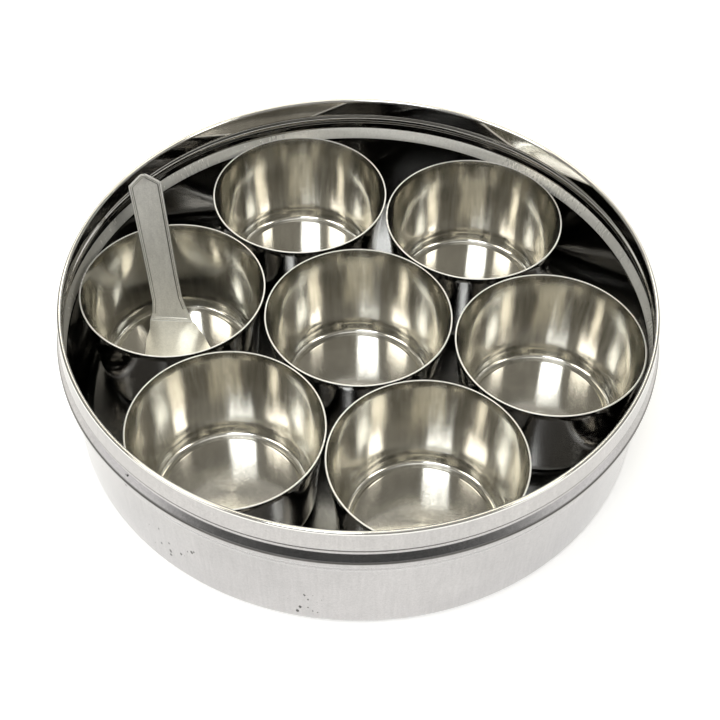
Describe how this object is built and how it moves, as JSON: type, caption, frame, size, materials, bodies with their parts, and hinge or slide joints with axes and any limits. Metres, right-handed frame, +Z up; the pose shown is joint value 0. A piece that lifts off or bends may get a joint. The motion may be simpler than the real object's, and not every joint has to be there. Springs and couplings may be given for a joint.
{
  "type": "spice box",
  "caption": "Round open spice box in spun steel with a rolled hem and a beaded wall, holding loose spice cups and a small flat spoon.",
  "frame": {"origin": "centre of the box's underside, on the surface it stands on", "axes": "+Z up out of the mouth of the box; -Y towards the person using it; the spoon is in the cup on the -X side"},
  "size_m": [0.2206, 0.2206, 0.0641],
  "materials": {
    "box_steel": "spun stainless steel, bright, with fine brushing up the wall, light handling marks and small pits",
    "cup_steel": "drawn stainless steel, satin inside with soft upright streaks, mirror bright outside, spun floor disc",
    "spoon_steel": "pressed stainless steel, matt and finely grained, with brighter edges"
  },
  "bodies": {
    "box": {"box_body": "box_steel"},
    "cup_centre": {"cup_centre": "cup_steel"},
    "cup_right": {"cup_right": "cup_steel"},
    "cup_back_right": {"cup_back_right": "cup_steel"},
    "cup_back_left": {"cup_back_left": "cup_steel"},
    "cup_left": {"cup_left": "cup_steel"},
    "cup_front_left": {"cup_front_left": "cup_steel"},
    "cup_front_right": {"cup_front_right": "cup_steel"},
    "spoon": {"spoon": "spoon_steel"}
  },
  "joints": [
    {"name": "cup_centre_lift", "type": "slide", "parent": "box", "child": "cup_centre", "axis": [0, 0, 1], "range_m": [0, 0.062]},
    {"name": "cup_right_lift", "type": "slide", "parent": "box", "child": "cup_right", "axis": [0, 0, 1], "range_m": [0, 0.062]},
    {"name": "cup_back_right_lift", "type": "slide", "parent": "box", "child": "cup_back_right", "axis": [0, 0, 1], "range_m": [0, 0.062]},
    {"name": "cup_back_left_lift", "type": "slide", "parent": "box", "child": "cup_back_left", "axis": [0, 0, 1], "range_m": [0, 0.062]},
    {"name": "cup_left_lift", "type": "slide", "parent": "box", "child": "cup_left", "axis": [0, 0, 1], "range_m": [0, 0.062]},
    {"name": "cup_front_left_lift", "type": "slide", "parent": "box", "child": "cup_front_left", "axis": [0, 0, 1], "range_m": [0, 0.062]},
    {"name": "cup_front_right_lift", "type": "slide", "parent": "box", "child": "cup_front_right", "axis": [0, 0, 1], "range_m": [0, 0.062]},
    {"name": "spoon_lift", "type": "slide", "parent": "cup_left", "child": "spoon", "axis": [0, 0, 1], "range_m": [0, 0.045]}
  ]
}
